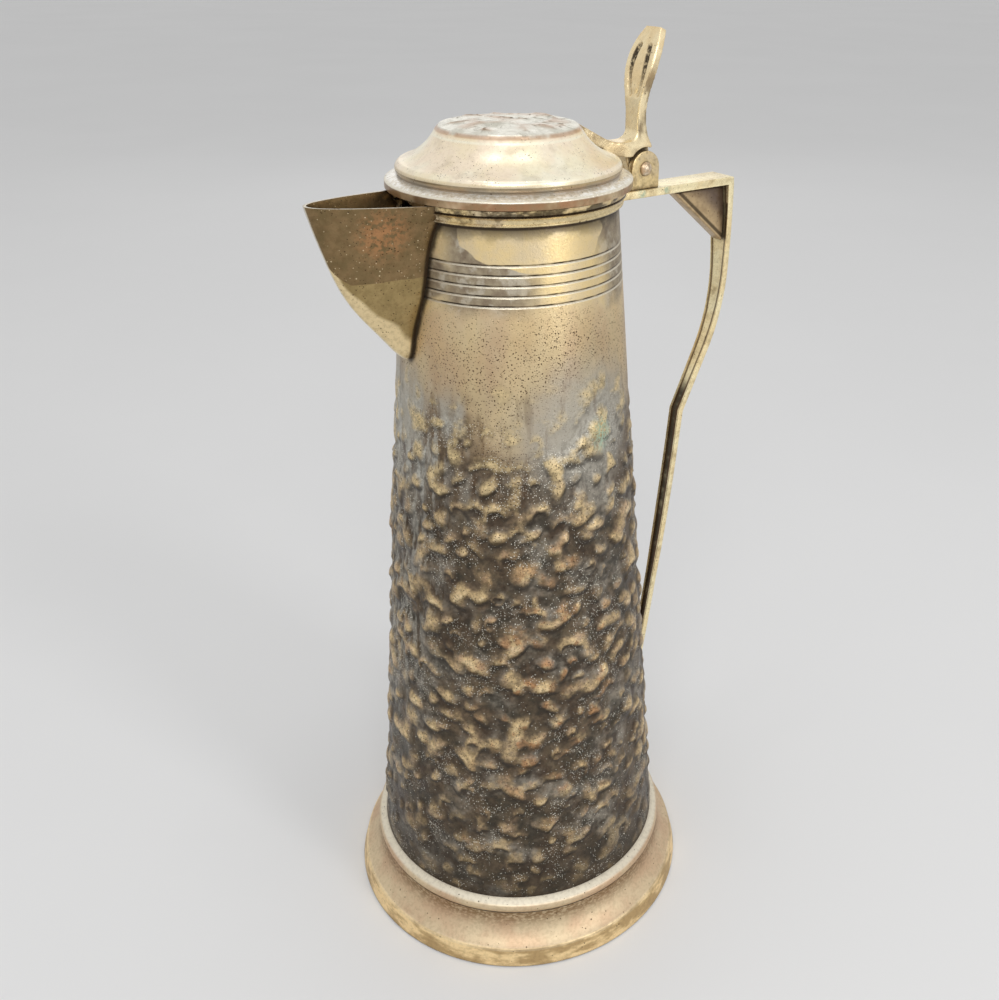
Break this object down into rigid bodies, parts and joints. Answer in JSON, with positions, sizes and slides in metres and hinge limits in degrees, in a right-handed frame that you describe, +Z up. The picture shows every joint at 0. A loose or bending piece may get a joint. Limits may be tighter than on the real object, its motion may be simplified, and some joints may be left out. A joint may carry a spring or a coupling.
{
  "type": "lidded jug",
  "caption": "Tall tapered brass jug with a folded spout, a strap handle and a hinged domed lid with a thumb lever.",
  "frame": {"origin": "centre of the foot's underside, on the jug's axis", "axes": "+Z up along the jug's axis, +X towards the handle, -X towards the spout"},
  "size_m": [0.1743, 0.14, 0.3416],
  "materials": {
    "hammered_brass": "aged, hammered all over",
    "spun_brass": "aged satin",
    "cast_brass": "worn satin"
  },
  "bodies": {
    "jug_body": {"body_shell": "hammered_brass", "base_plate": "spun_brass", "foot_ring": "spun_brass", "foot_bead": "spun_brass", "collar_lower": "spun_brass", "collar_upper": "spun_brass", "spout": "hammered_brass", "handle_strap": "cast_brass", "handle_gusset": "cast_brass", "hinge_fork": "cast_brass", "hinge_pin": "cast_brass"},
    "lid": {"lid_dome": "hammered_brass", "lid_rim": "spun_brass", "lid_flange": "spun_brass", "thumb_lever": "cast_brass"}
  },
  "joints": [
    {"name": "lid_hinge", "type": "hinge", "parent": "jug_body", "child": "lid", "pos_m": [0.0554, 0, 0.2944], "axis": [0, 1, 0], "range_deg": [0, 88]}
  ]
}
